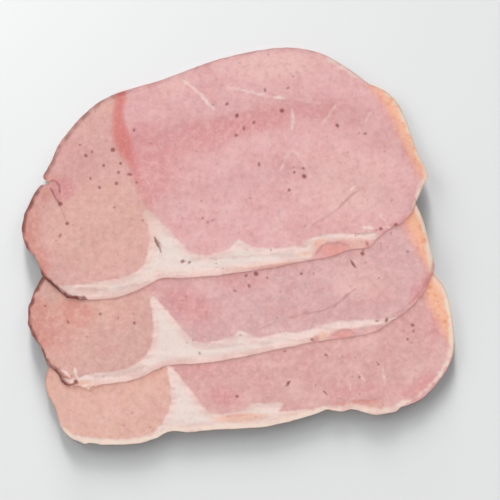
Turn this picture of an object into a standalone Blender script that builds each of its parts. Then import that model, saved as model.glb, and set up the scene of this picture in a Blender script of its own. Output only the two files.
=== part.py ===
"""Sliced corned beef: three thin slices of one cooked joint, laid out like shingles.

Run with: blender --background --python part.py

Each slice is one closed solid. Its outline is cut from the same joint, so the three share a rounded
upper edge and differ along the rest. The bottom slice lies flat. Each slice above it rests on the one
below and sags to the table where nothing carries it. A seam of fat, a little proud of the lean, runs
along the lower edge and rises in a wedge between the eye of the joint and its main muscle.

Units are metres, +Z up. The origin is on the table at the centre of the stack's footprint.
"""

import bmesh
import bpy
import numpy as np

MM = 0.001

# The slices.
SLICE_THICKNESS = 2.2 * MM
FAT_RISE = 0.2 * MM            # how far the fat stands above the lean
LAYER_GAP = 0.3 * MM           # air between two slices that touch
SLICE_REACH = 92 * MM          # half the side of a square that holds any slice

# How a slice sags past the edge of the one that carries it.
SAG_START = 4.5 * MM           # it stays level this far past that edge
SAG_LENGTH = 16 * MM           # and then takes this long to reach the table

# Net of the slab that a sagging slice is cut from. The sag runs mostly along Y, so the cells are short there.
SAGGING_CELLS = (round(2 * SLICE_REACH / (6.2 * MM)), round(2 * SLICE_REACH / (3.6 * MM)))
FLAT_CELLS = (1, 1)            # the bottom slice lies flat

EDGE_LENGTH = 2.6              # straight pieces of an outline, in millimetres
SEAM_LENGTH = 3.6              # and of the fat's outline
CUTTER_HEIGHT = 20 * MM

LEAN_COLOUR = (0.80, 0.44, 0.42, 1.0)
FAT_COLOUR = (0.86, 0.70, 0.64, 1.0)
LEAN_ROUGHNESS = 0.45
FAT_ROUGHNESS = 0.38

# Outlines are clockwise, in millimetres from the slice's own place. They start at the small notch on the
# left and run over the top to the right shoulder, which is the same on every slice of the joint.
UPPER_EDGE = [
    (-69.6, -4.4), (-72, -2), (-68.8, 5.2), (-65.2, 12.8), (-49.6, 28.8), (-24.4, 37.6), (-1.6, 45.8),
    (24.4, 50.4), (38.4, 48.2), (50.4, 41.6), (58.4, 35.6),
]

# place: where the slice lies, in millimetres from the origin.
# lower_edge: the rest of its outline, down the right side, back along the bottom and up the left side.
# fat: the outline of its fat, from the tip of the wedge down to the seam and along it to the right, then
#   back well outside the slice, where it is cut off, and up the wedge's other side.
# lifts: where a free edge stands up a little: (x, y, reach, height), from the slice's place.
SLICES = {
    "slice_bottom": {
        "place": (3.7, -33.3),
        "lower_edge": [
            (65.2, 32.4), (73.6, 23.2), (79.6, 14.8), (82.6, -6.8), (80.8, -14), (72.8, -24.8),
            (66.8, -29.2), (61.2, -31.2), (58, -33), (50, -34), (41.6, -31.8), (37.6, -32.8),
            (32.4, -32.2), (25.2, -34.4), (8.4, -38.6), (-14.8, -40.2), (-24.4, -41), (-29.6, -40.4),
            (-42.8, -45.4), (-66, -44.8), (-70.8, -42.8), (-74.4, -38.4), (-76, -32.4), (-80.4, -21.2),
            (-73.2, -4.8),
        ],
        "fat": [
            (-32.4, -13.2), (-22.8, -23.6), (-14, -33.6), (-0.8, -32), (1.2, -30.2), (14.4, -30),
            (12.8, -32.4), (32.4, -31.2), (39.2, -31.6), (48.4, -28.2), (62.8, -30), (64, -34),
            (40, -44), (-20, -54), (-66, -54), (-76, -46), (-74, -42), (-64.8, -43), (-42.8, -43.2),
            (-34.8, -38.8), (-30.8, -30.4), (-31.2, -18.8),
        ],
        "lifts": [],
    },
    "slice_middle": {
        "place": (-3.5, -6.1),
        "lower_edge": [
            (65.2, 33.2), (75.2, 22), (80.8, 3.2), (82, -2), (77.6, -12.6), (69.2, -21.2), (64.4, -24),
            (58.8, -28), (33.2, -32.4), (-6.8, -40.4), (-26.4, -42), (-39.6, -47.8), (-52.4, -49.6),
            (-55.6, -51.6), (-59.6, -49.6), (-62.8, -50.2), (-66.4, -48.4), (-67.6, -45.2), (-71.2, -42),
            (-73.6, -38), (-74.8, -34), (-78, -30.4), (-80, -20), (-73.2, -4.8),
        ],
        "fat": [
            (-30.8, -14.4), (-14, -31.6), (-10.4, -32.8), (1.2, -30), (4.4, -28), (11.2, -30.8),
            (18.4, -28.8), (28.4, -28.4), (42.4, -24.4), (59.6, -23.2), (66.8, -22.4), (62.8, -25.6),
            (50.8, -27.6), (40.8, -28.8), (37.2, -34.4), (20, -46), (-20, -56), (-60, -60), (-72, -50),
            (-70, -45.2), (-59.6, -44), (-54.8, -45.2), (-39.6, -42.4), (-32.4, -36.8), (-30, -26.8),
        ],
        "lifts": [(-67, -47, 15, 1.0), (78, -12, 12, 0.8)],
    },
    "slice_top": {
        "place": (-5.5, 29.1),
        "lower_edge": [
            (64.4, 33.2), (70.4, 26.4), (78, 6.8), (81.2, 0), (78.8, -6.8), (72.4, -18.8), (65.6, -22.8),
            (60.8, -26.4), (58.4, -29.6), (50.4, -30.8), (42.4, -33.6), (30.4, -35.6), (16.4, -38.4),
            (-13.6, -42), (-25.6, -42.4), (-31.6, -45.6), (-41.6, -49.6), (-61.6, -49.8), (-66.8, -46),
            (-72.4, -40.8), (-74.4, -34.8), (-78.4, -30), (-80.8, -22), (-73.2, -4.8),
        ],
        "fat": [
            (-31.2, -14.8), (-12.8, -32), (-8.8, -33), (0.8, -31.2), (6.4, -26.8), (11.2, -29.8),
            (29.6, -29.6), (33.6, -27.6), (44.4, -24.4), (60.8, -24), (66.4, -22), (56.8, -28),
            (41.6, -28.4), (37.6, -31.6), (35.2, -37), (20, -46), (-20, -56), (-60, -60), (-72, -50),
            (-69.6, -44.4), (-64.8, -45.2), (-33.6, -38.8), (-29.6, -26.8), (-30.4, -21.2),
            (-32.4, -17.6),
        ],
        "lifts": [(-65, -48, 16, 1.2), (73, -18, 12, 0.8)],
    },
}


def clear_scene():
    """Removes every object of the open scene."""
    for thing in list(bpy.data.objects):
        bpy.data.objects.remove(thing, do_unlink=True)


def new_collection(name):
    made = bpy.data.collections.new(name)
    bpy.context.scene.collection.children.link(made)
    return made


def new_material(name, colour, roughness):
    made = bpy.data.materials.new(name)
    made.use_nodes = True
    made.diffuse_color = colour
    shader = made.node_tree.nodes["Principled BSDF"]
    shader.inputs["Base Color"].default_value = colour
    shader.inputs["Roughness"].default_value = roughness
    shader.inputs["Metallic"].default_value = 0.0
    return made


def smooth_loop(points, spacing):
    """A closed curve through the points (a centripetal Catmull-Rom), as an array of XY corners.

    Spacing is about how far apart the corners are, in the points' own unit.
    """
    points = np.array(points, float)
    count = len(points)
    loop = []
    for i in range(count):
        p0, p1, p2, p3 = (points[(i + k) % count] for k in (-1, 0, 1, 2))
        d01, d12, d23 = (np.sqrt(np.linalg.norm(b - a)) for a, b in ((p0, p1), (p1, p2), (p2, p3)))
        leave = (p2 - p1) + d12 * ((p1 - p0) / d01 - (p2 - p0) / (d01 + d12))
        arrive = (p2 - p1) + d12 * ((p3 - p2) / d23 - (p3 - p1) / (d12 + d23))
        steps = max(1, round(np.linalg.norm(p2 - p1) / spacing))
        for t in np.arange(steps) / steps:
            loop.append(
                (2 * t**3 - 3 * t**2 + 1) * p1 + (t**3 - 2 * t**2 + t) * leave
                + (3 * t**2 - 2 * t**3) * p2 + (t**3 - t**2) * arrive
            )
    return np.array(loop)


def inside_distance(points, loop):
    """How far each XY point lies inside the loop, in metres, and below zero outside it."""
    start, end = loop, np.roll(loop, -1, axis=0)
    run = end - start
    to_point = points[:, None, :] - start[None]
    along = np.clip((to_point * run).sum(2) / (run**2).sum(1), 0, 1)
    nearest = np.linalg.norm(to_point - along[..., None] * run, axis=2).min(1)
    x, y = points[:, 0, None], points[:, 1, None]
    straddles = (start[:, 1] > y) != (end[:, 1] > y)
    rise = np.where(run[:, 1] == 0, 1e-12, run[:, 1])
    crosses = straddles & (x < start[:, 0] + (y - start[:, 1]) / rise * run[:, 0])
    return np.where(crosses.sum(1) % 2 == 1, nearest, -nearest)


def ease(t):
    """Runs smoothly from 0 to 1 as t does, and stays there."""
    t = np.clip(t, 0, 1)
    return t * t * t * (t * (6 * t - 15) + 10)


def prism(name, loop, cutters):
    """A tall upright solid of the loop's outline, which only cuts other shapes."""
    data = bpy.data.curves.new(name, "CURVE")
    data.dimensions = "2D"
    data.fill_mode = "BOTH"
    data.extrude = CUTTER_HEIGHT / 2
    spline = data.splines.new("POLY")
    spline.points.add(len(loop) - 1)
    for point, (x, y) in zip(spline.points, loop):
        point.co = (x, y, 0, 1)
    spline.use_cyclic_u = True
    curve = bpy.data.objects.new(name + "_curve", data)
    cutters.objects.link(curve)
    bpy.context.view_layer.update()
    mesh = bpy.data.meshes.new_from_object(curve.evaluated_get(bpy.context.evaluated_depsgraph_get()))
    bpy.data.objects.remove(curve, do_unlink=True)
    shape = bmesh.new()
    shape.from_mesh(mesh)
    bmesh.ops.remove_doubles(shape, verts=shape.verts, dist=1e-6)
    bmesh.ops.recalc_face_normals(shape, faces=shape.faces)
    shape.to_mesh(mesh)
    shape.free()
    made = bpy.data.objects.new(name, mesh)
    made.hide_render = True
    made.display_type = "WIRE"
    cutters.objects.link(made)
    return made


def slab(name, low, high, cells, material, home):
    """A flat sheet between two heights, with a net of so many cells each way that lets it bend."""
    bpy.ops.mesh.primitive_grid_add(
        x_subdivisions=cells[0],
        y_subdivisions=cells[1],
        size=2 * SLICE_REACH,
        location=(0, 0, high),
    )
    made = bpy.context.object
    made.name = made.data.name = name
    made.data.materials.append(material)
    thick = made.modifiers.new("thickness", "SOLIDIFY")
    thick.thickness = high - low
    thick.offset = -1
    for old in made.users_collection:
        old.objects.unlink(made)
    home.objects.link(made)
    return made


def add_boolean(target, operation, other):
    cut = target.modifiers.new(operation.lower() + "_" + other.name, "BOOLEAN")
    cut.operation = operation
    cut.solver = "EXACT"
    cut.material_mode = "TRANSFER"
    cut.object = other


def apply_modifiers(thing):
    """Makes the object's mesh what its modifiers show, and takes them off."""
    bpy.context.view_layer.update()
    mesh = bpy.data.meshes.new_from_object(thing.evaluated_get(bpy.context.evaluated_depsgraph_get()))
    thing.modifiers.clear()
    thing.data = mesh
    mesh.name = thing.name


def flat_slice(name, cells, lean, fat, part, cutters):
    """The slice as it leaves the knife: lean cut to its outline, with the fat joined on."""
    outline = prism(name + "_outline", slice_loop(name), cutters)
    seam = prism(name + "_seam", smooth_loop(SLICES[name]["fat"], SEAM_LENGTH) * MM, cutters)
    fat_plate = slab(name + "_fat", SLICE_THICKNESS / 2, SLICE_THICKNESS + FAT_RISE, cells, fat, cutters)
    fat_plate.hide_render = True
    fat_plate.display_type = "WIRE"
    add_boolean(fat_plate, "INTERSECT", outline)
    add_boolean(fat_plate, "INTERSECT", seam)
    made = slab(name, 0, SLICE_THICKNESS, cells, lean, part)
    add_boolean(made, "INTERSECT", outline)
    add_boolean(made, "UNION", fat_plate)
    apply_modifiers(made)
    made.data.shade_flat()
    return made


def slice_loop(name):
    """The slice's outline in metres, round its own place."""
    return smooth_loop(UPPER_EDGE + SLICES[name]["lower_edge"], EDGE_LENGTH) * MM


def lay(thing, name, below):
    """Moves the flat slice to its place and lets it sag over the slices below it."""
    spec = SLICES[name]
    place = np.array(spec["place"]) * MM
    mesh = thing.data
    corners = np.empty(len(mesh.vertices) * 3)
    mesh.vertices.foreach_get("co", corners)
    corners = corners.reshape(-1, 3)
    on_table = corners[:, :2] + place
    for other in below:
        loop = slice_loop(other) + np.array(SLICES[other]["place"]) * MM
        past_edge = -inside_distance(on_table, loop)
        carried = 1 - ease((past_edge - SAG_START) / SAG_LENGTH)
        corners[:, 2] += carried * (SLICE_THICKNESS + FAT_RISE + LAYER_GAP)
    for x, y, reach, height in spec["lifts"]:
        away = np.linalg.norm(corners[:, :2] / MM - (x, y), axis=1) / reach
        corners[:, 2] += ease(1 - away) * height * MM
    mesh.vertices.foreach_set("co", corners.ravel())
    mesh.update()
    thing.location.x, thing.location.y = place


def centre_on_origin(slices):
    """Puts the middle of the stack's footprint on the origin."""
    bpy.context.view_layer.update()
    corners = np.array([thing.matrix_world @ v.co for thing in slices for v in thing.data.vertices])
    middle = (corners.min(0) + corners.max(0)) / 2
    for thing in slices:
        thing.location.x -= middle[0]
        thing.location.y -= middle[1]


def main():
    clear_scene()
    part = new_collection("sliced_corned_beef")
    cutters = new_collection("cutters")
    slices = []
    for i, name in enumerate(SLICES):
        lean = new_material(name + "_lean", LEAN_COLOUR, LEAN_ROUGHNESS)
        fat = new_material(name + "_fat", FAT_COLOUR, FAT_ROUGHNESS)
        cells = SAGGING_CELLS if i else FLAT_CELLS
        made = flat_slice(name, cells, lean, fat, part, cutters)
        lay(made, name, list(SLICES)[:i])
        slices.append(made)
    centre_on_origin(slices)


main()
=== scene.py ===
"""Sliced corned beef: the finish of three thin slices of one cooked joint, laid out like shingles.

Each slice is one piece that stands for its CAD node. It takes its outline and the way it lies from that
node, and has a fine net of faces for the relief of fat, sinew and pores. Maps kept on its points say how
far each point is from the fat, the cut edge and the rest, and the meat's material reads them.

Lengths are in millimetres until a finished mesh is scaled to metres.
"""

import math

import bmesh
import bpy
import numpy as np
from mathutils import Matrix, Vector, noise
from mathutils.bvhtree import BVHTree


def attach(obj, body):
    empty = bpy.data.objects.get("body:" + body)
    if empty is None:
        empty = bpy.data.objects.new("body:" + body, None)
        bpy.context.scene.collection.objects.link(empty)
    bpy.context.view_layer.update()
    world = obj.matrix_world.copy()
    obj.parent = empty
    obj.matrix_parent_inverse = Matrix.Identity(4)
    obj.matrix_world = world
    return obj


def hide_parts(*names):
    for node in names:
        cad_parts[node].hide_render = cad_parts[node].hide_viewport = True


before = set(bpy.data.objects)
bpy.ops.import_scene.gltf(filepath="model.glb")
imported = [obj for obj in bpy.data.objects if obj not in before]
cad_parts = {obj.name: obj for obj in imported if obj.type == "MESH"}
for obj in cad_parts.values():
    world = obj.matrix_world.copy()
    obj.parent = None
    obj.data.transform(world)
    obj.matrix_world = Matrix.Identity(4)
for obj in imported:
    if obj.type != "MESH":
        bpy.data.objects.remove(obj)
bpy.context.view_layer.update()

MM = 0.001

THICKNESS = 2.2             # of a slice, as in the CAD nodes

# The net of a slice.
CELL = 0.7                  # side of a face where nothing small shows
CLEAR_OF_EDGE = 0.5         # the square faces stop this share of a cell short of the outline
LOOSE_CELLS = 3             # points within so many cells of the outline are evened out
SMOOTH_ROUNDS = 8           # how often they are
RIM_MERGE = 0.08            # points of the outline that end up nearer than this become one
RIM_ROWS = 4                # faces down the cut edge
DETAIL_REACH = 0.9          # faces this near a pore, a sinew or the fat's edge are halved

# The cut edge.
RAGGED = 0.28               # how far it wanders
RAGGED_WAVES = [(0.6, 5.0, 0), (0.4, 1.8, 7)]   # shares of that, their sizes and their seeds
EDGE_ROUND = 0.7            # radius of its corners
EDGE_PRESS = 0.12           # how much thinner the slice is there
LAID_PRESS = 0.6            # how much more where it lies on the slice below
CONTACT_PRESS = 0.5           # and along the lines of painted contact shade, where it lies on the slice below
PRESS_REACH = 3.0           # how far in the thinning starts
LAID_HEIGHTS = (THICKNESS / 3, THICKNESS)   # a slice this high begins to count as laid on, and does in full

# The relief of the cut face: heights, and the sizes of the swells that make them.
FAT_RISE = 0.2
FAT_EDGE = (-0.5, 0.5)      # it rises from this far outside the fat's outline to this far inside
FAT_CALM = 0.6              # how much less the fat follows the swells of the lean
FAT_RIPPLE = 0.05           # low ridges that run along the fat
RIPPLE_SIZE = 2.0
RIPPLE_SQUEEZE = 0.3        # how much X is squeezed to draw them out along the slice
LENS_RISE = 0.1
LENS_EDGE = (0.0, 1.5)
SINEW_RISE = 0.07
PORE_DEPTH = 0.4
PORE_EDGE = (-0.3, 0.6)
CRACK_DEPTH = 0.45
VEIN_DEPTH = 0.08
LEAN_WAVE = 0.10            # slow hollows and swells of the lean
WAVE_SIZE = 9.0
LEAN_GRAIN = 0.035          # bundles of fibres cut across
GRAIN_SIZE = 1.6
SOLE_WAVE = 0.03            # unevenness of the underside
SOLE_SIZE = 7.0

# How the way that a CAD node lies is read.
LIE_STEP = 2.0              # spacing of the points at which its underside is read
LIE_MARGIN = 3              # steps that these points reach past the slice
LIE_FROM = -5.0             # height from which it is looked for

# What all slices of the joint share, in millimetres from a slice's own place.
# eye: outline of the paler muscle at the left, which runs on under the fat and past the slice's edge.
# stripe: outline of the dark seam between it and the main muscle.
# rind: inner border of the smoked, orange rim at the right, closed outside the slice.
EYE = [
    (-41, 60), (-42.4, 30), (-42, 21.2), (-40.4, 15.6), (-37.6, 8.8), (-34.4, 2.8), (-31.4, -4.4),
    (-30, -12), (-30.4, -24), (-28, -60), (-110, -60), (-110, 60),
]
STRIPE = [
    (-42.6, 38), (-42.8, 29.2), (-43.4, 25.2), (-43.8, 21), (-43.8, 16.4), (-42.8, 11.2), (-40.8, 7),
    (-37.8, 2.6), (-35.8, -2), (-33.6, -8), (-32.6, -7), (-34.2, -1), (-35.6, 5), (-37.2, 10),
    (-38.2, 14.8), (-40, 19), (-41, 23.2), (-40.4, 28), (-39.8, 38),
]
STRIPE_EDGE = (-3.4, 2.0)   # its tone starts this far outside its outline, and is full this far inside
STRIPE_FADE = (12.0, -5.0)  # it is full above the first Y, and faint below the second
STRIPE_FAINT = 0.3
RIND = [
    (56, 37.5), (61.6, 29.4), (66.4, 21), (70.4, 12), (74.2, 4), (78, -3), (82, -9), (96, -6), (92, 22),
    (74, 44),
]

# What shows on each slice, in millimetres from the slice's own place.
# lean, eye: the tints of its main muscle and of the paler one at the left.
# fat: outline of the fat, which goes outside the slice along its lower edge.
# blush, pale, peach, ruddy and browned spots: soft spots of tone (x, y, half length, half width, turn in
# degrees, strength). The browned ones are brown marks in the fat, and along the dark lower-left edges
# painted contact shade.
# lenses: small ovals of lean inside the fat (x, y, half length, half width, turn in degrees).
# sinews: pale threads. veins: thin dark lines. seams: soft grey lines in the fat. cracks: open splits.
# Lines of dark, cream and red edge, each a strength and a line's points. The dark lines are dried crust on
# the outer edges, and painted contact shade where the slice lies on the one below. The cream lines are waxy
# fat, and in places a painted pale rim that lifts the shade of the rounded edge. The red lines are painted
# contact shade along edges laid on the slice below.
# pores: small dark holes (x, y, radius).
# teeth: where the knife tore the cut edge (x, y, half width, how far outwards).
SLICES = {
    "slice_bottom": {
        "place": (3.7, -33.3),
        "lean": "#daa7a2",
        "eye": "#e3b4a3",
        "fat": [
            (-32.4, -13.2), (-22.8, -23.6), (-14, -33.6), (-0.8, -32), (1.2, -30.2), (14.4, -30),
            (12.8, -32.4), (32.4, -31.2), (39.2, -31.8), (46, -30.6), (54, -32), (62, -33), (62, -36),
            (40, -44), (-20, -54), (-66, -54), (-76, -46), (-74, -42), (-64.8, -43), (-42.8, -43.2),
            (-34.8, -38.8), (-30.8, -30.4), (-31.2, -18.8),
        ],
        "blush": [(-8, -27, 12, 7, 0, 0.8), (70, -22, 16, 5, 35, 0.7), (76, 4, 22, 4, 80, 0.7),
                  (45, -25, 30, 6, 5, 0.5), (-20, -16, 18, 10, 0, 0.35)],
        "pale": [(-58, -32, 18, 12, 0, 0.4), (40, -4, 30, 8, 0, 0.4)],
        "peach": [(-62, -24, 18, 20, 0, 0.6), (-79, -24, 6, 20, 12, 0.8), (24, -34, 16, 3, 6, 0.6),
                  (-2, -35.4, 18, 3, 4, 1.0), (50, -31, 12, 1.8, 0, 0.8)],
        "ruddy": [(44, -29.2, 16, 1.8, 3, 0.9), (27, -31.6, 10, 1.4, 0, 0.8), (-4, -34.4, 10, 1.2, 5, 0.5)],
        "browned_and_shaded": [],
        "lenses": [],
        "sinews": [(0.5, [(40.5, -20), (41, -24)]), (0.5, [(54, -14), (55, -22)]),
                   (0.5, [(44.5, -17), (47, -21)])],
        "veins": [(0.6, [(36, -27.5), (44, -28.6), (52, -27.8)])],
        "seams": [(0.6, [(-36, -41), (-20, -38), (-4, -36.4), (10, -34.6)])],
        "contact_shaded": [],
        "waxy_and_lit": [
            (1.0, [(-76, -38), (-70, -43), (-60, -45), (-46, -45.4), (-36, -43), (-26, -39), (-10, -38.4),
                   (6, -37.6), (20, -34.6), (30, -32.8)]),
            (0.7, [(30, -32.8), (39.2, -30.4), (50, -32.4), (60.4, -30.4)]),
            (0.9, [(60.4, -30), (67.2, -25.2), (73.2, -20.4), (77.2, -15.6), (81.2, -6.4), (82, 2),
                   (81.2, 7.6), (78.8, 14.8), (74, 20.4)]),
        ],
        "cracks": [(0.8, [(14.8, -23.2), (17.2, -20.8)]), (0.9, [(30.4, -24.4), (32, -26.4)])],
        "dried_and_shaded": [],
        "pores": [
            (31.6, -10.4, 0.6), (-4, -26.8, 0.6), (66, 1.6, 0.7), (66.4, -0.8, 0.5), (64, -4, 0.5),
            (15.2, -8.8, 0.5), (52.4, -14, 0.4), (44.8, -19.2, 0.5),
        ],
        "teeth": [
            (-64.8, -44.6, 2.0, 0.9), (-58, -45.4, 1.6, 0.4), (-36, -42.4, 2.4, 0.5),
            (-26.4, -38.4, 2.2, -0.6), (-17, -38.4, 2, 0.5), (16, -35.6, 2, 0.5), (31.6, -32, 1.4, -0.7),
            (58.8, -31.6, 2.4, 0.9), (61.8, -30, 1.6, -0.6), (69.6, -26, 2.0, 0.7), (-80, -14, 2.4, 0.4),
            (-78.6, -26, 2, 0.5),
        ],
    },
    "slice_middle": {
        "place": (-3.5, -6.1),
        "lean": "#d8aaa9",
        "eye": "#d8a99d",
        "fat": [
            (-30.8, -14.4), (-14, -31.6), (-10.4, -32.8), (1.2, -30), (4.4, -28), (11.2, -30.8),
            (18.4, -28.8), (28.4, -28.4), (42.4, -24.4), (59.6, -23.4), (66.8, -22.6), (62.8, -24.8),
            (50.8, -26.6), (40.8, -28.2), (36.8, -33), (20, -46), (-20, -56), (-58, -60), (-60, -50),
            (-59, -46.4), (-54.8, -45.2), (-39.6, -42.4), (-32.4, -36.8), (-30, -26.8),
        ],
        "blush": [(-16, -18, 20, 12, -20, 0.9), (76, -12, 12, 6, 62, 0.8), (-66, -34, 10, 20, 0, 0.3),
                  (4, -8, 18, 8, 0, 0.6), (62, -12, 16, 10, 40, 0.3)],
        "pale": [(52, -8, 24, 14, 0, 0.6)],
        "peach": [(-58, -18, 32, 17, 0, 1.0), (38, -30, 5, 3.4, 0, 0.9), (56, -27.4, 7, 2, 8, 0.9),
                  (-66, -38, 18, 12, 20, 0.8), (-64.6, -45.8, 4, 3, 0, 1.0), (-57, -49.6, 6, 3.4, 0, 1.0)],
        "ruddy": [(-79, -24, 13, 20, 8, 1.0), (34.6, -31, 2.4, 3.4, -30, 0.7), (-60, -20, 11, 8, -20, 1.0),
                  (-67, -28, 16, 18, 0, 0.5), (-64.4, -46, 2.4, 1.8, 0, 0.7), (60, -23.6, 4, 1.4, 0, 0.5),
                  (-56, -49.6, 3, 1.4, 0, 0.4)],
        "browned_and_shaded": [(-68.4, -44.6, 4.5, 1.2, -48, 0.7)],
        "lenses": [(45.6, -29.4, 4.6, 1.9, 10)],
        "sinews": [(1.0, [(-67.2, -44), (-65.2, -44.2), (-63.2, -45.8)]),
                   (1.0, [(-66.6, -46.4), (-65, -47.8), (-62.8, -48.2), (-61.4, -47)]),
                   (1.0, [(-61.2, -42.6), (-60.8, -45.2), (-59.6, -47.4)]),
                   (1.0, [(-59.6, -47.2), (-56.4, -46.6), (-54, -46.8)]),
                   (0.8, [(-59.6, -50.8), (-56.8, -49.4), (-54, -49)])],
        "veins": [
            (0.8, [(50.4, -11.2), (46.4, -14.4), (42.4, -17.6), (37.2, -20)]),
            (0.6, [(37.2, -20), (31.6, -20.8), (24, -22.8)]),
            (0.5, [(20, -24), (11.6, -27.6)]),
            (0.7, [(41.2, -30), (44.4, -27.8), (48, -27.8), (50.4, -29)]),
        ],
        "seams": [
            (0.9, [(-58, -46.6), (-50, -45.8), (-40, -44.6), (-33, -42)]),
            (0.7, [(-10, -35), (4, -33.4), (18, -32.6)]),
        ],
        "contact_shaded": [(0.9, [(83.2, -0.4), (80.4, -5.6), (76.4, -10.8), (72.4, -14.4), (66.4, -19.6)]),
                    (0.2, [(-8, -40.6), (0.4, -38.8), (15.2, -35.8), (32.8, -32), (52.8, -28.6),
                           (61.6, -25.8)])],
        "waxy_and_lit": [(1.0, [(74, 24), (75.2, 21.2), (78, 14.4), (80.4, 8), (82, 2), (82.4, -3)]),
                 (1.0, [(79, 6), (80.4, 1), (80.6, -3)])],
        "cracks": [(0.8, [(48.4, 0.4), (50.4, -2.8)]), (0.45, [(60.4, 7.2), (60.8, 4.4)]),
                   (1.0, [(-69.2, -43.2), (-67.6, -46.6), (-65.6, -48.8), (-62.6, -49.4), (-60.4, -48)]),
                   (0.6, [(-66.4, -45.4), (-63.6, -47)]), (0.7, [(-55.2, -51), (-53.4, -49.8)])],
        "dried_and_shaded": [
            (1.0, [(-74, -6.4), (-77.2, -10.8), (-79.6, -15.6), (-80.4, -21.6), (-79.6, -27.6),
                   (-77.2, -33.6), (-74.8, -38), (-71.6, -42), (-67.6, -44.8), (-65, -49)]),
        ],
        "pores": [
            (10.8, -5.2, 0.9), (6.8, -6, 0.6), (15.2, -6.8, 0.4), (8, -10, 0.6), (2.4, -12, 0.5),
            (28.8, -5.2, 0.6), (53.2, 2.8, 0.8), (62.8, -23.6, 0.8), (-51.2, -21.2, 0.6),
            (-37.6, -24.8, 0.6), (-73.2, -18, 0.5), (-64, -24.4, 0.6), (71.2, 3.6, 0.5),
            (-44, -22.8, 0.4), (-38.4, -10, 0.4), (-11.6, -36.8, 0.5), (-60.8, -48.2, 0.9), (59, -24, 0.6),
            (33, -31.4, 0.6),
        ],
        "teeth": [
            (-80.2, -18, 1.8, 0.5), (-79.8, -25, 2, 0.6), (-77.8, -31.6, 1.6, -0.5),
            (-75.6, -36.4, 1.8, 0.5), (-72, -41, 1.4, 0.4), (-28, -42.6, 2, 0.4), (-33, -44.6, 6, 0.7),
            (26, -33.6, 1.6, 0.4), (63, -24.8, 1.6, 0.5),
        ],
    },
    "slice_top": {
        "place": (-5.5, 29.1),
        "lean": "#e3adad",
        "eye": "#ddaaa1",
        "fat": [
            (-31.2, -14.8), (-12.8, -32), (-8.8, -33), (0.8, -31.2), (6.4, -26.8), (11.2, -29.8),
            (29.6, -29.4), (33.6, -27), (38.4, -25.2), (44.4, -24.6), (51.6, -24.8), (60.8, -24.2),
            (61.2, -26.2), (54.4, -26.8), (44.4, -27.2), (40.4, -28), (36.8, -30.8), (34.8, -34), (33, -40),
            (20, -46), (-20, -56), (-60, -60), (-72, -50), (-69.6, -44.4), (-64.8, -45.2), (-33.6, -38.8),
            (-29.6, -26.8), (-30.4, -21.2), (-32.4, -17.6),
        ],
        "blush": [(-14, 15, 40, 12, 8, 0.9), (20, 22, 28, 9, 10, 0.7), (-24, 0, 12, 18, 20, 0.6),
                  (-60, 6, 14, 20, 40, 0.4), (28, 0, 12, 9, 0, 0.3), (-64, -6, 8, 7, 0, 1.0),
                  (-35, -1, 14, 3.5, -70, 0.8), (-31, 8, 24, 8, -78, 0.8), (44, 26, 34, 13, -20, 0.4),
                  (-65.4, -8, 4.6, 7, 25, 1.0), (-29, -10, 6, 8, 0, 0.5), (-31.4, -9, 10, 2.8, -68, 0.7)],
        "pale": [(20, 43, 34, 9, 2, 0.9), (-20, 34, 16, 5, 18, 0.6), (50, -4, 34, 26, 0, 0.6)],
        # The long thin peach and ruddy spots at about y -37.5 lie along the lower edge, where the slice
        # rests on the one below: painted contact shade.
        "peach": [(-50, -22, 34, 28, 0, 1.0), (38, -28.6, 5, 3.4, 20, 1.0), (53.2, -28.6, 8, 3, 0, 1.0),
                  (-46, 26.4, 6, 4, 40, 1.0), (48, -26.6, 12, 1.6, 8, 0.4), (14, -37.6, 30, 2.4, 7, 0.4),
                  (32.4, -32.4, 5, 1.8, 0, 0.7)],
        "ruddy": [(-80, -17, 11, 20, 10, 1.0), (-75, -36, 10, 13, 20, 1.0), (-54, -47, 14, 2.6, 6, 0.5),
                  (57, -28.6, 1.8, 2.8, 20, 0.8), (-41.2, 30, 3.4, 3.4, 0, 1.0),
                  (31, -29.4, 4, 1.6, 0, 0.5), (60, -25, 4, 1.6, 0, 0.5), (20, -37.4, 18, 1.5, 7, 0.7),
                  (-70, -2, 6, 4, 0, 0.6), (-71, -8.6, 4.4, 6, 0, 0.8)],
        "browned_and_shaded": [(-68, -45.2, 7.5, 1.5, -43, 1.0), (-60.2, -50.2, 3.8, 1.4, -8, 1.0),
                    (57, -28.6, 1.4, 2.2, 20, 0.35)],
        "lenses": [(43.6, -30.8, 6.8, 2.9, 10)],
        "sinews": [
            (0.8, [(-17.2, 37.6), (-14.4, 35.6), (-9.6, 31.6), (-6.8, 28), (-4, 25.6)]),
            (0.5, [(-22, 38.4), (-18.8, 36.4)]),
            (0.6, [(1.6, 34.4), (8.8, 32.8), (15.2, 31.2), (22.4, 30), (25.6, 30)]),
            (0.8, [(8.8, 32.8), (12.4, 32)]), (0.9, [(19.6, 30.4), (24, 29.8)]),
            (0.5, [(30.4, 29.2), (35.2, 28.4), (38.4, 28)]),
            (0.6, [(44.8, 27.6), (42.4, 23.6), (39.6, 19.6)]),
            (0.6, [(27.2, 25.6), (27.6, 20.8), (26.8, 16.8)]),
            (0.55, [(22.4, 0.4), (24.4, 4.8), (27.2, 8.4), (32, 2.8), (34.8, -2.4)]),
            (0.6, [(59.2, 24.8), (56.8, 20.8)]),
            (0.7, [(52, -5.6), (50.4, -7.2)]),
            (0.7, [(63.2, -15.6), (62.4, -17.6), (64, -19.6)]),
            (1.0, [(54, -22), (56.6, -22.2), (59.2, -22.2)]),
            (1.0, [(50, -25.4), (56, -25.4), (60.6, -25)]),
            (1.0, [(63.4, -21.8), (66, -22)]),
        ],
        "veins": [
            (0.8, [(53.2, -7.6), (49.2, -10.8), (45.6, -14.4)]),
            (0.6, [(45.6, -14.4), (42.4, -16.8), (35.2, -21.2)]),
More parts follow.
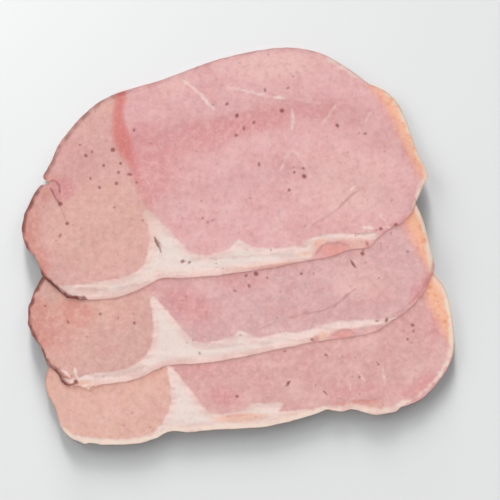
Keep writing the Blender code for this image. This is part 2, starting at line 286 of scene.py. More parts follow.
            (0.8, [(36.8, -32.4), (39.2, -29.2), (44.4, -28.2), (48.4, -28.8), (50.4, -30.8)]),
            (0.6, [(52, -24.6), (57, -24.6), (61, -23.2)]),
            (0.5, [(24.8, 6), (20.8, 1.2)]),
            (0.35, [(15.2, 45.2), (17.6, 38)]),
        ],
        "seams": [
            (0.7, [(-15.2, -35.6), (-7.6, -34.8), (2.4, -34), (15.2, -33.2), (30.4, -33.2)]),
            (1.0, [(-65.6, -46), (-53.6, -46.8), (-39.6, -46), (-29.6, -43.6)]),
        ],
        "contact_shaded": [(0.2, [(-3.6, -41.6), (6.4, -39.6), (22.4, -37.6), (30.4, -36), (42.4, -33.6),
                           (50.4, -31.6)]),
                    (0.5, [(64, -23), (68, -20.8), (72, -18.4)])],
        "waxy_and_lit": [(0.7, [(42, 46), (50, 41), (57, 38)]), (0.7, [(57, 38), (62.8, 35), (68, 30), (72, 22.5)]),
                 (0.9, [(72, 22.5), (75.8, 14.5), (79, 6.4), (82.2, -0.4)]),
                 (0.8, [(80.6, -0.6), (79.6, -4), (78, -9), (76.6, -13.6)])],
        "cracks": [
            (0.6, [(-69.6, -3.4), (-67.6, -3.2), (-66, -5.2), (-65.4, -8)]),
            (0.7, [(-69.2, -6), (-67.4, -9.6), (-65.6, -12.6)]),
            (0.35, [(-65.6, -12.6), (-64.2, -16), (-62.6, -20)]),
            (0.95, [(-27.6, -26), (-26, -29.2), (-24.8, -32)]),
            (0.5, [(-26.2, -27), (-24.6, -30)]),
            (0.8, [(-72, -41), (-67.6, -45.6), (-63.4, -49)]),
        ],
        "dried_and_shaded": [
            (0.6, [(-72, -2), (-67.6, 5.2), (-63.2, 12), (-58.4, 19.2), (-53.6, 25.2), (-49.6, 28.8)]),
            (0.5, [(-53.6, 25.2), (-49.6, 28.8), (-40, 31.5)]),
            (0.8, [(-73.2, -4.4), (-76.8, -10.8), (-80, -19.6), (-80.4, -25.2), (-78.4, -30.8),
                   (-76, -35.6), (-72.4, -40.4)]),
            (1.0, [(-72.4, -40.8), (-67.6, -46), (-62.4, -49.6), (-55.6, -50.8)]),
            (0.35, [(-40, 31.5), (-25, 37), (-10, 43), (5, 48), (20, 50.3), (35, 48.5)]),
        ],
        "pores": [
            (32, -1.6, 0.9), (45.2, 18.8, 0.8), (23.2, 24.8, 0.9), (-44.4, 9.2, 0.9), (-65.2, -12.6, 0.9),
            (-63.4, -49, 0.9), (-58.6, -50.2, 1.0), (-16.4, -35.6, 0.8), (-55.2, 6.8, 0.7),
            (-52.8, 8.4, 0.5), (-41.2, 3.6, 0.6),
            (-48, 2.8, 0.6), (-42, 0, 0.6), (-37.6, -0.8, 0.8), (-42.8, -4.4, 0.7), (-34.8, -4, 0.5),
            (-49.6, -6, 0.6), (-53.2, -2.4, 0.5), (8, 17.6, 0.7), (4.8, 14.8, 0.7), (12, 20, 0.6),
            (5.2, 22.8, 0.8), (1.2, 27.6, 0.6), (-36, 17.2, 0.6), (25.6, 34, 0.5), (16.4, 33.2, 0.5),
            (14, 3.2, 0.7), (26, -7.2, 0.6), (31.6, 1.6, 0.6), (28, 0, 0.5), (56.4, 15.6, 0.6),
            (-8.4, -18.4, 0.4), (-4.4, -19.2, 0.4), (-6.4, -20, 0.4), (-62.4, -20.4, 0.7),
            (-65.2, -25.2, 0.6), (-13.6, -36, 0.5), (-57.6, 11.2, 0.4), (-43.6, -14, 0.4),
            (62.4, -22.6, 0.7), (68.4, -21, 0.8), (62.4, -28, 0.7),
        ],
        "teeth": [
            (-71.6, -1.4, 2.0, 0.6), (-79.6, -16, 2, 0.4), (-78.6, -30.4, 2, 0.5), (-62, -49.4, 2, 0.6),
            (-57, -51, 1.6, 0.7), (-28, -42, 2, 0.4), (74.8, -15.6, 1.6, 0.6), (80.8, -1.6, 1.8, 0.6),
            (-13, 39.4, 1.6, 0.4), (-2, -41.6, 1.6, 0.5), (20, -38, 1.6, 0.4),
        ],
    },
}

# Kinds of thin line, and of dark, cream and red edge with the painted shade and pale rims noted above: the
# list of a slice that holds them, half their width at the middle, and what is added to the slice's seed.
LINES = {
    "sinew": ("sinews", 0.85, 0),
    "vein": ("veins", 0.7, 1),
    "seam": ("seams", 0.9, 3),
    "crack": ("cracks", 0.6, 2),
    "dried_and_shaded": ("dried_and_shaded", 2.4, 0),
    "waxy_and_lit": ("waxy_and_lit", 2.4, 4),
    "contact_shaded": ("contact_shaded", 2.4, 5),
}
LINE_STEP = 1.0             # spacing of a line's corners
LINE_MARGIN = 1.5           # how far past half its width spots are looked at
WAVER = (0.4, 1.8)          # how far it wavers, and over what length
SWELL = (0.8, 0.6, 2.5)     # its usual width, as a share, how much that varies, and over what length
BREAK = (0.6, 0.4, 3.0)     # its least strength, how much more it has in places, and over what length
LINE_TAPER = 2.0            # its ends thin out to half over this length
LINE_EDGE = (1.5, 0.5)      # it fades in from the first distance to the second, in half widths

SOFT_SPOTS = ("blush", "pale", "peach", "ruddy", "browned_and_shaded")
SPOT_SLOPE = 1.2            # a soft spot is full over its middle sixth, and fades from there to its border

STRAY_PORES = 60            # tiny pores scattered over a slice
STRAY_DRAWS = 180           # places drawn for them, as some fall outside the slice
STRAY_RADIUS = (0.2, 0.4)
STRAY_MARGIN = 2.0          # how far inside the outline they keep
PORE_STRETCH = 1.35         # a pore is at most this much longer, and as much narrower

FAR = 9.0                   # the greatest distance that a map keeps
BATCH = 4000                # spots that are measured at once, to save memory


# ---- Lines and distances ----

def curve_through(points, spacing, closed=False):
    """Corners of a smooth curve through the points (a centripetal Catmull-Rom), about so far apart."""
    points = np.array(points, float)
    if closed:
        guides = np.concatenate([points[-1:], points, points[:2]])
    else:
        guides = np.concatenate([2 * points[:1] - points[1:2], points, 2 * points[-1:] - points[-2:-1]])
    corners = []
    for p0, p1, p2, p3 in zip(guides, guides[1:], guides[2:], guides[3:]):
        d01, d12, d23 = (math.sqrt(np.linalg.norm(b - a)) for a, b in ((p0, p1), (p1, p2), (p2, p3)))
        leave = (p2 - p1) + d12 * ((p1 - p0) / d01 - (p2 - p0) / (d01 + d12))
        arrive = (p2 - p1) + d12 * ((p3 - p2) / d23 - (p3 - p1) / (d12 + d23))
        steps = max(1, round(np.linalg.norm(p2 - p1) / spacing))
        for t in np.arange(steps) / steps:
            corners.append(
                (2 * t**3 - 3 * t**2 + 1) * p1 + (t**3 - 2 * t**2 + t) * leave
                + (3 * t**2 - 2 * t**3) * p2 + (t**3 - t**2) * arrive
            )
    if not closed:
        corners.append(points[-1])
    return np.array(corners)


def nearest_on(spots, starts, ends):
    """For each spot, the nearest point on any of the straight runs from starts to ends."""
    run = ends - starts
    found = np.empty_like(spots)
    for i in range(0, len(spots), BATCH):
        part = spots[i:i + BATCH]
        along = ((part[:, None] - starts) * run).sum(2) / np.maximum((run**2).sum(1), 1e-12)
        on_run = starts + np.clip(along, 0, 1)[..., None] * run
        best = np.linalg.norm(part[:, None] - on_run, axis=2).argmin(1)
        found[i:i + BATCH] = on_run[np.arange(len(part)), best]
    return found


def from_line(spots, line):
    """How far each spot is from an open line of corners."""
    line = np.array(line, float)
    return np.linalg.norm(spots - nearest_on(spots, line[:-1], line[1:]), axis=1)


def within(spots, loop):
    """How far each spot lies inside the closed loop, and below zero outside it."""
    starts, ends = loop, np.roll(loop, -1, axis=0)
    reach = np.linalg.norm(spots - nearest_on(spots, starts, ends), axis=1)
    x, y = spots.T
    crossed = np.zeros(len(spots), int)
    for (x0, y0), (x1, y1) in zip(starts, ends):
        if y0 != y1:
            straddles = (y0 > y) != (y1 > y)
            crossed += straddles & (x < x0 + (y - y0) / (y1 - y0) * (x1 - x0))
    return np.where(crossed % 2 == 1, reach, -reach)


def ease(values, low=0, high=1):
    """Runs smoothly from 0 to 1 as the values go from low to high, and stays there."""
    t = np.clip((values - low) / (high - low), 0, 1)
    return t * t * (3 - 2 * t)


def away_from(spots, oval):
    """How far each spot is from the middle of an oval, where 1 is on its border."""
    x, y, length, width, turn = oval
    c, s = math.cos(math.radians(turn)), math.sin(math.radians(turn))
    dx, dy = spots[:, 0] - x, spots[:, 1] - y
    return np.hypot((dx * c + dy * s) / length, (dy * c - dx * s) / width)


def within_ovals(spots, ovals):
    """How far each spot lies inside any of the ovals, told along their width, and below zero outside."""
    found = np.full(len(spots), -FAR)
    for oval in ovals:
        found = np.maximum(found, oval[3] * (1 - away_from(spots, oval)))
    return found


def soft_spots(spots, blots):
    """How strongly the soft blots cover each spot, from 0 to 1."""
    cover = np.zeros(len(spots))
    for *oval, strength in blots:
        cover += strength * ease(SPOT_SLOPE * (1 - away_from(spots, oval)))
    return np.clip(cover, 0, 1)


def wander(spots, size, seed):
    """Smooth noise from about -1 to 1 at each spot, with swells of about that size."""
    return np.array([noise.noise(Vector((x / size, y / size, seed))) for x, y in spots])


# ---- The shape of a slice ----

def cad_shape(node):
    """A merged copy of the CAD node, in millimetres."""
    shape = bmesh.new()
    shape.from_mesh(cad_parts[node].data)
    bmesh.ops.scale(shape, vec=(1 / MM,) * 3, verts=shape.verts)
    bmesh.ops.remove_doubles(shape, verts=shape.verts, dist=1e-3)
    shape.normal_update()
    return shape


def cut_edge(shape):
    """The slice's outline, which is the border of the underside, as corners in order."""
    under = {f for f in shape.faces if f.normal.z < -0.5}
    beside = {}
    for edge in shape.edges:
        if sum(f in under for f in edge.link_faces) == 1:
            for here, there in (edge.verts, reversed(edge.verts)):
                beside.setdefault(here, []).append(there)
    first = min(beside, key=lambda v: v.co.x)
    walk = [first, beside[first][0]]
    while walk[-1] is not first:
        onward = [v for v in beside[walk[-1]] if v is not walk[-2]]
        walk.append(onward[0])
    return np.array([v.co.xy for v in walk[:-1]])


def fray(loop, place, teeth, seed):
    """The outline with the unevenness that a knife leaves in soft meat, and with its few torn teeth."""
    fine = np.concatenate([loop, (loop + np.roll(loop, -1, axis=0)) / 2], axis=1).reshape(-1, 2)
    along = np.roll(fine, -1, axis=0) - np.roll(fine, 1, axis=0)
    out = np.stack([along[:, 1], -along[:, 0]], axis=1) / np.linalg.norm(along, axis=1)[:, None]
    shift = RAGGED * sum(share * wander(fine, size, seed + more) for share, size, more in RAGGED_WAVES)
    for x, y, half_width, outwards in teeth:
        away = np.hypot(*(fine - place - (x, y)).T)
        shift += outwards * np.clip(1 - away / half_width, 0, 1)
    return fine + out * shift[:, None]


def lie_of(shape):
    """Reads how high the underside is, and returns a function that gives it for any spots."""
    tree = BVHTree.FromBMesh(shape)
    corners = np.array([v.co.xy for v in shape.verts])
    low = corners.min(0) - LIE_MARGIN * LIE_STEP
    count = np.ceil((corners.max(0) - low) / LIE_STEP).astype(int) + LIE_MARGIN + 1
    height = np.full(count, np.nan)
    for i in range(count[0]):
        for j in range(count[1]):
            below = Vector((low[0] + i * LIE_STEP, low[1] + j * LIE_STEP, LIE_FROM))
            hit = tree.ray_cast(below, Vector((0, 0, 1)))[0]
            if hit is not None:
                height[i, j] = hit.z
    # Places past the outline take the mean of the known ones around them.
    while np.isnan(height).any():
        padded = np.pad(height, 1, constant_values=np.nan)
        around = np.stack([padded[a:a + count[0], b:b + count[1]] for a in range(3) for b in range(3)])
        known = ~np.isnan(around)
        filled = np.where(known, around, 0).sum(0) / np.maximum(known.sum(0), 1)
        height = np.where(np.isnan(height) & known.any(0), filled, height)
    padded = np.pad(height, 1, mode="edge")
    rows = (padded[:-2] + 2 * padded[1:-1] + padded[2:]) / 4
    height = (rows[:, :-2] + 2 * rows[:, 1:-1] + rows[:, 2:]) / 4

    def height_at(spots):
        where = (spots - low) / LIE_STEP
        cell = np.floor(where).astype(int)
        tx, ty = (where - cell).T
        i, j = cell.T
        near = height[i, j] * (1 - tx) + height[i + 1, j] * tx
        far = height[i, j + 1] * (1 - tx) + height[i + 1, j + 1] * tx
        return near * (1 - ty) + far * ty

    return height_at


def snap_to(verts, loop):
    """Puts the points on the nearest place of the loop."""
    spots = np.array([v.co.xy for v in verts])
    for v, (x, y) in zip(verts, nearest_on(spots, loop, np.roll(loop, -1, axis=0))):
        v.co.x, v.co.y = x, y


def flat_net(loop):
    """A flat sheet of small square faces that fills the loop, with its border on the loop."""
    low, high = loop.min(0) - CELL, loop.max(0) + CELL
    size = high - low
    shape = bmesh.new()
    bmesh.ops.create_grid(
        shape, x_segments=round(size[0] / CELL), y_segments=round(size[1] / CELL), size=0.5
    )
    bmesh.ops.scale(shape, vec=(*size, 1), verts=shape.verts)
    bmesh.ops.translate(shape, vec=(*((low + high) / 2), 0), verts=shape.verts)
    verts = list(shape.verts)
    inside = within(np.array([v.co.xy for v in verts]), loop) / CELL
    outside = [v for v, d in zip(verts, inside) if d < CLEAR_OF_EDGE]
    near = [v for v, d in zip(verts, inside) if CLEAR_OF_EDGE <= d < LOOSE_CELLS]
    bmesh.ops.delete(shape, geom=outside, context="VERTS")
    stray = [v for v in shape.verts if len(v.link_faces) < 2]
    bmesh.ops.delete(shape, geom=stray, context="VERTS")
    border = [e for e in shape.edges if e.is_boundary]
    grown = bmesh.ops.extrude_edge_only(shape, edges=border)["geom"]
    rim = [v for v in grown if isinstance(v, bmesh.types.BMVert)]
    snap_to(rim, loop)
    loose = [v for v in near if v.is_valid] + rim
    for _ in range(SMOOTH_ROUNDS):
        bmesh.ops.smooth_vert(
            shape, verts=loose, factor=0.5, use_axis_x=True, use_axis_y=True, use_axis_z=False
        )
        snap_to(rim, loop)
    bmesh.ops.remove_doubles(shape, verts=rim, dist=RIM_MERGE)
    return shape


def thicken(shape):
    """Makes the sheet a slab from 0 up to the slice's thickness, with rows of faces down its cut edge."""
    bmesh.ops.solidify(shape, geom=shape.faces[:], thickness=THICKNESS)
    bmesh.ops.translate(shape, vec=(0, 0, THICKNESS), verts=shape.verts)
    upright = [e for e in shape.edges if abs(e.verts[0].co.z - e.verts[1].co.z) > THICKNESS / 2]
    bmesh.ops.subdivide_edges(shape, edges=upright, cuts=RIM_ROWS - 1, use_grid_fill=True)


def halve_faces(shape, place, spec, loop):
    """Halves the upper faces that lie near something small."""
    shape.normal_update()
    upper = [f for f in shape.faces if f.normal.z > 0.5 and f.calc_center_median().z > THICKNESS / 2]
    spots = np.array([f.calc_center_median().xy for f in upper])
    local = spots - place
    reach = np.minimum(
        np.abs(within(local, curve_through(spec["fat"], spacing=2, closed=True))) - DETAIL_REACH,
        within(spots, loop) - 2 * DETAIL_REACH,
    )
    for _, line in spec["sinews"] + spec["cracks"] + spec["veins"]:
        reach = np.minimum(reach, from_line(local, line) - DETAIL_REACH)
    for x, y, radius in spec["pores"]:
        reach = np.minimum(reach, np.hypot(local[:, 0] - x, local[:, 1] - y) - radius - DETAIL_REACH)
    edges = {e for f, d in zip(upper, reach) if d < 0 for e in f.edges}
    bmesh.ops.subdivide_edges(shape, edges=list(edges), cuts=1, use_grid_fill=True)


def pores_of(spec, loop, seed):
    """The slice's own pores and tiny stray ones, as ovals (x, y, half length, half width, turn)."""
    draw = np.random.default_rng(seed)
    stray = draw.uniform(loop.min(0), loop.max(0), (STRAY_DRAWS, 2))
    stray = stray[within(stray, loop) > STRAY_MARGIN][:STRAY_PORES]
    stray = np.concatenate([stray, draw.uniform(*STRAY_RADIUS, (len(stray), 1))], axis=1)
    x, y, radius = np.concatenate([np.array(spec["pores"], float), stray]).T
    stretch = draw.uniform(1.0, PORE_STRETCH, len(x))
    return np.stack([x, y, radius * stretch, radius / stretch, draw.uniform(-90, 90, len(x))], axis=1)


def threads(spots, lines, width, seed):
    """How strongly thin lines cover each spot, from 0 to 1.

    The lines waver, swell, break up and thin out at their ends.
    """
    sway, sway_size = WAVER
    usual, swell, swell_size = SWELL
    least, more, break_size = BREAK
    cover = np.zeros(len(spots))
    for strength, points in lines:
        line = curve_through(points, LINE_STEP)
        near = np.flatnonzero(from_line(spots, line) < width + LINE_MARGIN)
        here = spots[near]
        aside = [wander(here, sway_size, seed), wander(here, sway_size, seed + 20)]
        here = here + sway * np.stack(aside, axis=1)
        to_end = np.minimum(np.hypot(*(here - line[0]).T), np.hypot(*(here - line[-1]).T))
        thick = width * (usual + swell * wander(here, swell_size, seed + 40))
        thick *= 0.5 + 0.5 * ease(to_end, 0, LINE_TAPER)
        found = strength * ease(from_line(here, line) / thick, *LINE_EDGE)
        found *= least + more * ease(wander(here, break_size, seed + 60), -0.5, 0.5)
        cover[near] = np.maximum(cover[near], found)
    return cover


def maps_of(spec, local, loop, seed):
    """What each spot of a slice is near: distances in millimetres, above zero inside, and soft shares."""
    full, faint = STRIPE_FADE
    stripe = ease(within(local, curve_through(STRIPE, spacing=1.5, closed=True)), *STRIPE_EDGE)
    maps = {
        "edge": within(local, loop),
        "fat": within(local, curve_through(spec["fat"], spacing=1.5, closed=True)),
        "rind": within(local, curve_through(RIND, spacing=3, closed=True)),
        "eye": within(local, curve_through(EYE, spacing=4, closed=True)),
        "stripe": stripe * (STRIPE_FAINT + (1 - STRIPE_FAINT) * ease(local[:, 1], faint, full)),
        "pore": within_ovals(local, pores_of(spec, loop, seed)),
        "lens": within_ovals(local, spec["lenses"]),
    }
    for key, (lines, width, more) in LINES.items():
        maps[key] = threads(local, spec[lines], width, seed + more)
    for key in SOFT_SPOTS:
        maps[key] = soft_spots(local, spec[key])
    return maps


def relief_of(maps, spots, seed):
    """How far the cut face stands above a flat one."""
    fat = ease(maps["fat"], *FAT_EDGE)
    wave = LEAN_WAVE * wander(spots, WAVE_SIZE, seed) + LEAN_GRAIN * wander(spots, GRAIN_SIZE, seed + 3)
    rise = (1 - FAT_CALM * fat) * wave + FAT_RISE * fat
    rise += SINEW_RISE * maps["sinew"] * (1 - fat) + LENS_RISE * ease(maps["lens"], *LENS_EDGE)
    rise -= PORE_DEPTH * ease(maps["pore"], *PORE_EDGE)
    rise -= CRACK_DEPTH * maps["crack"] + VEIN_DEPTH * maps["vein"]
    rise += FAT_RIPPLE * fat * wander(spots * (RIPPLE_SQUEEZE, 1), RIPPLE_SIZE, seed + 9)
    return rise


def heights_of(corners, maps, lie, seed):
    """How high each point of the flat slab goes when it has its relief and lies as the CAD node does."""
    spots, depth = corners[:, :2], corners[:, 2] / THICKNESS
    inward = np.clip(maps["edge"], 0, EDGE_ROUND) / EDGE_ROUND
    drop = EDGE_ROUND * (1 - np.sqrt(1 - (1 - inward) ** 2))
    height = lie(spots)
    laid = ease(height, *LAID_HEIGHTS)
    press = EDGE_PRESS + LAID_PRESS * laid + CONTACT_PRESS * maps["contact_shaded"]
    press *= 1 - ease(maps["edge"], 0, PRESS_REACH)
    upper = depth * (THICKNESS + relief_of(maps, spots, seed) - drop - press)
    lower = (1 - depth) * ((1 - laid) * drop + SOLE_WAVE * (1 + wander(spots, SOLE_SIZE, seed + 5)))
    return height + upper + lower


def put_in_scene(name, data):
    """A new object of the data, in the scene."""
    made = bpy.data.objects.new(name, data)
    bpy.context.scene.collection.objects.link(made)
    return made


def make_slice(name, seed):
    """One slice: a fine net cut to the CAD node's outline, given its relief and laid as the node lies."""
    spec = SLICES[name]
    place = np.array(spec["place"])
    cad = cad_shape(name)
    lie = lie_of(cad)
    loop = fray(cut_edge(cad), place, spec["teeth"], seed)
    cad.free()
    shape = flat_net(loop)
    thicken(shape)
    halve_faces(shape, place, spec, loop)
    bmesh.ops.recalc_face_normals(shape, faces=shape.faces)

    mesh = bpy.data.meshes.new(name + "_meat")
    shape.to_mesh(mesh)
    shape.free()
    corners = np.empty(len(mesh.vertices) * 3)
    mesh.vertices.foreach_get("co", corners)
    corners = corners.reshape(-1, 3)
    maps = maps_of(spec, corners[:, :2] - place, loop - place, seed)
    corners[:, 2] = heights_of(corners, maps, lie, seed)
    mesh.vertices.foreach_set("co", (corners * MM).ravel())
    for key, values in maps.items():
        kept = mesh.attributes.new(key, "FLOAT", "POINT")
        kept.data.foreach_set("value", np.clip(values, -FAR, FAR).astype(np.float32))
    mesh.shade_smooth()
    mesh.update()
    mesh.materials.append(cured_meat(name, spec, seed))
    piece = put_in_scene(mesh.name, mesh)
    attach(piece, "root")
    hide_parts(name)
    return piece


# ---- Materials ----

def linear(hex_colour):
    """An sRGB hex colour as linear red, green, blue and alpha."""
    channels = [int(hex_colour[i:i + 2], 16) / 255 for i in (1, 3, 5)]
    return (*(c / 12.92 if c <= 0.04045 else ((c + 0.055) / 1.055) ** 2.4 for c in channels), 1)


def add(tree, kind, feeds=None, **settings):
    """Adds a node. Settings are its own, and feeds go to its inputs: a value, or another node's output."""
    made = tree.nodes.new(kind)
    for key, value in settings.items():
        setattr(made, key, value)
    for socket, value in (feeds or {}).items():
        if isinstance(value, bpy.types.NodeSocket):
            tree.links.new(value, made.inputs[socket])
        else:
            made.inputs[socket].default_value = value
    return made


# The noises that the meat reads: in which space, the size of their swells in millimetres, and their detail.
NOISES = {
    "slow": ("even", 9.0, 3.0),
    "swirl": ("even", 14.0, 4.0),
    "fine": ("even", 2.6, 1.5),
    "grain": ("even", 1.2, 1.0),
    "streak": ("drawn out", 2.8, 1.5),
}
NOISE_SHIFT = 40.0          # each slice reads them this much further up, in millimetres
STREAK_TURN = -7            # degrees that the drawn-out space is turned by, to follow the band of fat
STREAK_SQUEEZE = 0.25       # how much it is squeezed along that band, which draws its swells out
# How a map on the points becomes a share of colour: the map, where the share starts, where it is full, and
# how far the fine noise moves that border, in millimetres for distances and in shares for the rest.
BORDERS = {
    "eye": ("eye", -1.5, 2.5, 2.0),
    "blush": ("blush", 0.0, 1.0, 0.3),
    "pale": ("pale", 0.0, 1.0, 0.3),
    "peach": ("peach", 0.0, 1.0, 0.3),
    "ruddy": ("ruddy", 0.1, 0.9, 0.4),
    "stripe": ("stripe", 0.05, 0.95, 0.3),
    "coral rind": ("rind", -2.5, 1.8, 1.5),
    "orange rind": ("rind", -0.8, 3.6, 2.0),
    "fat": ("fat", -0.7, 0.8, 1.2),
    "deep fat": ("fat", 0.9, 3.8, 2.0),
    "off the edge": ("edge", 1.0, 5.0, 2.0),
    "thin rim": ("edge", 2.8, 0.8, -1.0),
    "lens": ("lens", -1.0, 1.4, 1.2),
    "sinew": ("sinew", 0.0, 1.0, 0.4),
    "vein": ("vein", 0.0, 1.0, 0.4),
    "seam": ("seam", 0.0, 1.0, 0.6),
    "crack": ("crack", 0.0, 0.9, 0.3),
    "pore": ("pore", -0.4, 0.5, 0.5),
    "dried_and_shaded": ("dried_and_shaded", 0.1, 0.9, 0.3),
    "waxy_and_lit": ("waxy_and_lit", 0.1, 0.9, 0.3),
    "contact_shaded": ("contact_shaded", 0.1, 0.9, 0.5),
    "browned_and_shaded": ("browned_and_shaded", 0.1, 0.6, 0.3),
    "rim": ("edge", 3.0, 1.1, -2.0),
    "dry and shaded rim": ("edge", 2.5, 0.9, -0.8),
}
# Shares read from a noise alone: which, where the share starts and where it is full.
READINGS = {
    "cloud": ("slow", 0.48, 0.65),
    "rosy cloud": ("slow", 0.48, 0.32),
    "one side": ("swirl", 0.47, 0.5),
    "other side": ("swirl", 0.53, 0.5),
    "light fleck": ("fine", 0.5, 0.7),
    "dark fleck": ("fine", 0.48, 0.3),
    "light grain": ("grain", 0.5, 0.75),
    "dark grain": ("grain", 0.48, 0.25),
    "streak": ("streak", 0.46, 0.60),
    "grey streak": ("streak", 0.47, 0.34),
}
# Shares that are one share kept to another.
OVERLAPS = {
    "cream and lit rim": ("waxy_and_lit", "rim"),
    "dry and shaded edge": ("dried_and_shaded", "dry and shaded rim"),
    "marbling": ("one side", "other side"),
    "rind shade": ("orange rind", "dark fleck"),
    "fat streak": ("fat", "streak"),
    "fat shade": ("fat", "grey streak"),
    "fat peach": ("fat", "peach"),
    "fat ruddy": ("fat", "ruddy"),
    "fat heart": ("deep fat", "off the edge"),
    "rosy rim": ("fat", "thin rim"),
    "red contact shade": ("contact_shaded", "dry and shaded rim"),
}
# The meat's colours over its lean, from the lowest up: the share that each takes, its tint, and the most
# that it covers. The slice's own "eye" tint goes in with them.
LAYERS = [
    ("cloud", "#ecc2bf", 0.4),
    ("eye", "", 0.9),
    ("rosy cloud", "#d99b98", 0.35),
    ("pale", "#efc3bb", 0.65),
    ("peach", "#e2b1a0", 0.62),
    ("blush", "#da8c8f", 0.6),
    ("ruddy", "#d98d7f", 0.6),
    ("coral rind", "#e69f97", 0.7),
    ("marbling", "#f3cfca", 0.12),
    ("light fleck", "#f6c9c5", 0.25),
    ("dark fleck", "#c28884", 0.22),
    ("stripe", "#da7b75", 0.9),
    ("orange rind", "#f7bd9b", 0.9),
    ("rind shade", "#e4936f", 0.6),
    ("fat", "#e8cbc3", 0.96),
    ("fat streak", "#f9dfd7", 0.6),
    ("fat shade", "#dcbcb3", 0.4),
    ("fat heart", "#ecddd4", 0.78),
    ("rosy rim", "#e0aea3", 0.25),
    ("fat peach", "#ecb8a2", 0.8),
    ("fat ruddy", "#cf8f84", 0.75),
    ("seam", "#d2b2a9", 0.55),
    ("lens", "#e1968c", 0.75),
    ("sinew", "#f5ddd5", 0.8),
    ("light grain", "#f8e2de", 0.12),
    ("dark grain", "#b57f7a", 0.12),
    # Cream fat at the cut edge, and in places a painted pale rim that lifts the shade of the rounded edge.
    ("cream and lit rim", "#efdccd", 0.85),
    ("vein", "#b9827c", 0.7),
    ("crack", "#863a35", 0.85),
    ("pore", "#8c453f", 0.8),
    # Painted contact shade, reddish, along edges that lie on the slice below.
    ("red contact shade", "#c4736e", 0.6),
    # Brown marks in the fat, and painted contact shade along the dark lower-left edges.
    ("browned_and_shaded", "#823a31", 0.85),
    # Dried crust on the outer edges, and painted contact shade where the edge lies on the slice below.
    ("dry and shaded edge", "#78322a", 0.82),
]
DAMP = (0.3, 0.7)           # readings of the slow noise where the cut face is wettest and driest
ROUGHNESS = (0.36, 0.52)    # and its roughness there
FLOOR_TONES = ("#cecece", "#d1d1d1")
FLOOR_SPECKLE = 1 / 6       # size of the board's unevenness, in metres


def new_material(name):
    """A new material, its node tree and its shader."""
    material = bpy.data.materials.new(name)
    material.use_nodes = True
    return material, material.node_tree, material.node_tree.nodes["Principled BSDF"]


def cured_meat(name, spec, seed):
    """Cooked cured meat, sliced cold.

    Muscle that was salted, pressed into a joint, cooked, smoked on one side and cut across its fibres. So
    the lean is pink with a fine grain, pores and pale sinews, the fat is cream with soft streaks, and the
    rind is orange. The cut face is moist and a little clear: light goes in by about a millimetre and comes
    out redder, and the wettest patches have the clearest sheen.
    """
    material, tree, shader = new_material(name + "_cured_meat")
    where = add(tree, "ShaderNodeTexCoord").outputs["Object"]
    x, y = spec["place"]
    even = add(tree, "ShaderNodeMapping", {
        "Vector": where, "Scale": (1 / MM,) * 3, "Location": (-x, -y, NOISE_SHIFT * seed),
    }).outputs[0]
    drawn_out = add(tree, "ShaderNodeMapping", {
        "Vector": even, "Rotation": (0, 0, math.radians(STREAK_TURN)), "Scale": (STREAK_SQUEEZE, 1, 1),
    }).outputs[0]
    spaces = {"even": even, "drawn out": drawn_out}
    read = {}
    for key, (space, size, detail) in NOISES.items():
        read[key] = add(tree, "ShaderNodeTexNoise", {
            "Vector": spaces[space], "Scale": 1 / size, "Detail": detail,
        }).outputs[0]

    share = {}
    for key, (kept, low, high, wobble) in BORDERS.items():
        reach = add(tree, "ShaderNodeAttribute", attribute_name=kept).outputs["Fac"]
        moved = add(tree, "ShaderNodeMath", {
            0: read["fine"], 1: wobble, 2: reach,
        }, operation="MULTIPLY_ADD").outputs[0]
        share[key] = add(tree, "ShaderNodeMapRange", {
            "Value": moved, "From Min": low + wobble / 2, "From Max": high + wobble / 2,
        }, interpolation_type="SMOOTHSTEP").outputs[0]
    for key, (value, low, high) in READINGS.items():
        share[key] = add(tree, "ShaderNodeMapRange", {
            "Value": read[value], "From Min": low, "From Max": high,
        }, interpolation_type="SMOOTHSTEP").outputs[0]
    for key, (first, second) in OVERLAPS.items():
        share[key] = add(tree, "ShaderNodeMath", {
            0: share[first], 1: share[second],
        }, operation="MULTIPLY").outputs[0]

    colour = linear(spec["lean"])
    for key, tint, most in LAYERS:
        cover = add(tree, "ShaderNodeMath", {0: share[key], 1: most}, operation="MULTIPLY").outputs[0]
        colour = add(
            tree, "ShaderNodeMix", {0: cover, 6: colour, 7: linear(tint or spec["eye"])}, data_type="RGBA"
        ).outputs[2]
    tree.links.new(colour, shader.inputs["Base Color"])

    wet = add(tree, "ShaderNodeMapRange", {
        "Value": read["slow"], "From Min": DAMP[0], "From Max": DAMP[1],
        "To Min": ROUGHNESS[0], "To Max": ROUGHNESS[1],
    }).outputs[0]
    tree.links.new(wet, shader.inputs["Roughness"])
    # The ends of the fibres stand up by less than the net of faces can show.
    bump = add(tree, "ShaderNodeBump", {"Height": read["grain"], "Strength": 0.5, "Distance": 0.1 * MM})
    tree.links.new(bump.outputs[0], shader.inputs["Normal"])
    # Water and fat bend light about this much, and red light goes further in than green and blue.
    shader.inputs["IOR"].default_value = 1.4
    shader.inputs["Subsurface Weight"].default_value = 0.4
    shader.inputs["Subsurface Radius"].default_value = (1.0, 0.45, 0.3)
    shader.inputs["Subsurface Scale"].default_value = 1.0 * MM
    return material


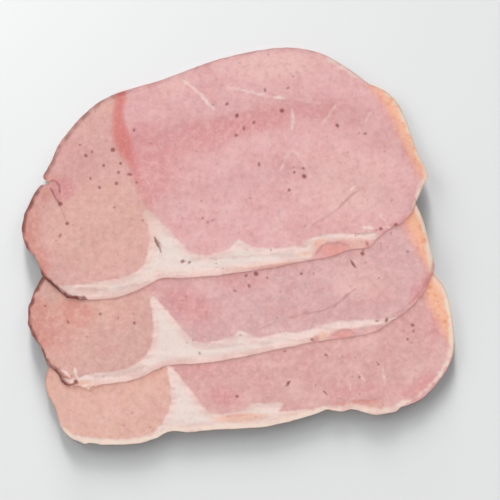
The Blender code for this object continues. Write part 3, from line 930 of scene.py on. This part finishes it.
def floor_board():
    """Board painted a matt white, for the table under the slices.

    The paint was rolled on, so its tone is faintly uneven, and it takes soft shadows without a shine.
    """
    material, tree, shader = new_material("matt_white_board")
    where = add(tree, "ShaderNodeTexCoord").outputs["Object"]
    speckle = add(tree, "ShaderNodeTexNoise", {
        "Vector": where, "Scale": 1 / FLOOR_SPECKLE, "Detail": 2.0,
    }).outputs[0]
    dark, light = FLOOR_TONES
    tone = add(
        tree, "ShaderNodeMix", {0: speckle, 6: linear(dark), 7: linear(light)}, data_type="RGBA"
    ).outputs[2]
    tree.links.new(tone, shader.inputs["Base Color"])
    shader.inputs["Roughness"].default_value = 0.9
    shader.inputs["Specular IOR Level"].default_value = 0.0
    return material


# ---- The studio, in metres ----

VIEW_CENTRE = Vector((4.9, -1.7, 0)) * MM
VIEW_WIDTH = 200 * MM       # what the picture's width takes in
VIEW_ELEVATION = 88         # degrees above the table
CAMERA_DISTANCE = 1.0
FLOOR_SIZE = 3.0
FLOOR_GAP = 0.05 * MM       # between the board and the slices, so that no two faces lie in one plane
SKY_COLOUR = "#f4f6f8"
SKY_STRENGTH = 0.36
# Each lamp: its kind, the way to it from the slices (turn from the far side towards the right, height, both
# in degrees), its distance, its size in metres or degrees, its power, and what it lights.
LAMPS = {
    "overhead": ("AREA", 0, 82, 1.3, 1.2, 7.1, "meat"),
    "window": ("AREA", -25, 48, 1.3, 0.8, 2.9, "meat"),
    "front_panel": ("AREA", 165, 38, 1.3, 0.9, 6.6, "meat"),
    "low_back": ("SUN", -6, 8, 1.5, 12, 8.4, "board"),
    "mid_back": ("SUN", -2, 14, 1.5, 16, 2.5, "board"),
    "low_right": ("SUN", 45, 18, 1.5, 24, 0.9, "board"),
    "low_left": ("SUN", -50, 14, 1.5, 18, 1.1, "board"),
    "left_side": ("SUN", -82, 16, 1.5, 26, 1.0, "board"),
    "left_panel": ("AREA", -42, 24, 0.42, 0.25, 0.68, "board"),
}


def studio(slices):
    """A pale board under soft light, mostly from the far side, and a camera that looks down on it."""
    shape = bmesh.new()
    bmesh.ops.create_grid(shape, x_segments=1, y_segments=1, size=FLOOR_SIZE / 2)
    mesh = bpy.data.meshes.new("board")
    shape.to_mesh(mesh)
    shape.free()
    mesh.materials.append(floor_board())
    board = put_in_scene("board", mesh)
    board.location.z = -FLOOR_GAP

    world = bpy.data.worlds.new("studio")
    bpy.context.scene.world = world
    world.use_nodes = True
    sky = world.node_tree.nodes["Background"]
    sky.inputs["Color"].default_value = linear(SKY_COLOUR)
    sky.inputs["Strength"].default_value = SKY_STRENGTH

    lit = {"board": bpy.data.collections.new("lit_board"), "meat": bpy.data.collections.new("lit_meat")}
    lit["board"].objects.link(board)
    for piece in slices:
        lit["meat"].objects.link(piece)
    for name, (kind, turn, height, distance, size, power, receiver) in LAMPS.items():
        lamp = bpy.data.lights.new(name, kind)
        if kind == "SUN":
            lamp.angle = math.radians(size)
        else:
            lamp.size = size
        lamp.energy = power
        turn, height = math.radians(turn), math.radians(height)
        flat = math.cos(height)
        way = Vector((math.sin(turn) * flat, math.cos(turn) * flat, math.sin(height)))
        made = put_in_scene(name, lamp)
        made.location = way * distance
        made.rotation_euler = (-way).to_track_quat("-Z", "Y").to_euler()
        made.light_linking.receiver_collection = lit[receiver]

    lens = bpy.data.cameras.new("camera")
    lens.sensor_width = 36
    lens.lens = lens.sensor_width * CAMERA_DISTANCE / VIEW_WIDTH
    camera = put_in_scene("camera", lens)
    tilt = math.radians(VIEW_ELEVATION)
    back = Vector((0, -math.cos(tilt), math.sin(tilt)))
    camera.location = VIEW_CENTRE + back * CAMERA_DISTANCE
    camera.rotation_euler = (-back).to_track_quat("-Z", "Y").to_euler()
    bpy.context.scene.camera = camera
    bpy.context.scene.view_settings.view_transform = "Standard"


studio([make_slice(slice_name, number) for number, slice_name in enumerate(SLICES, start=1)])
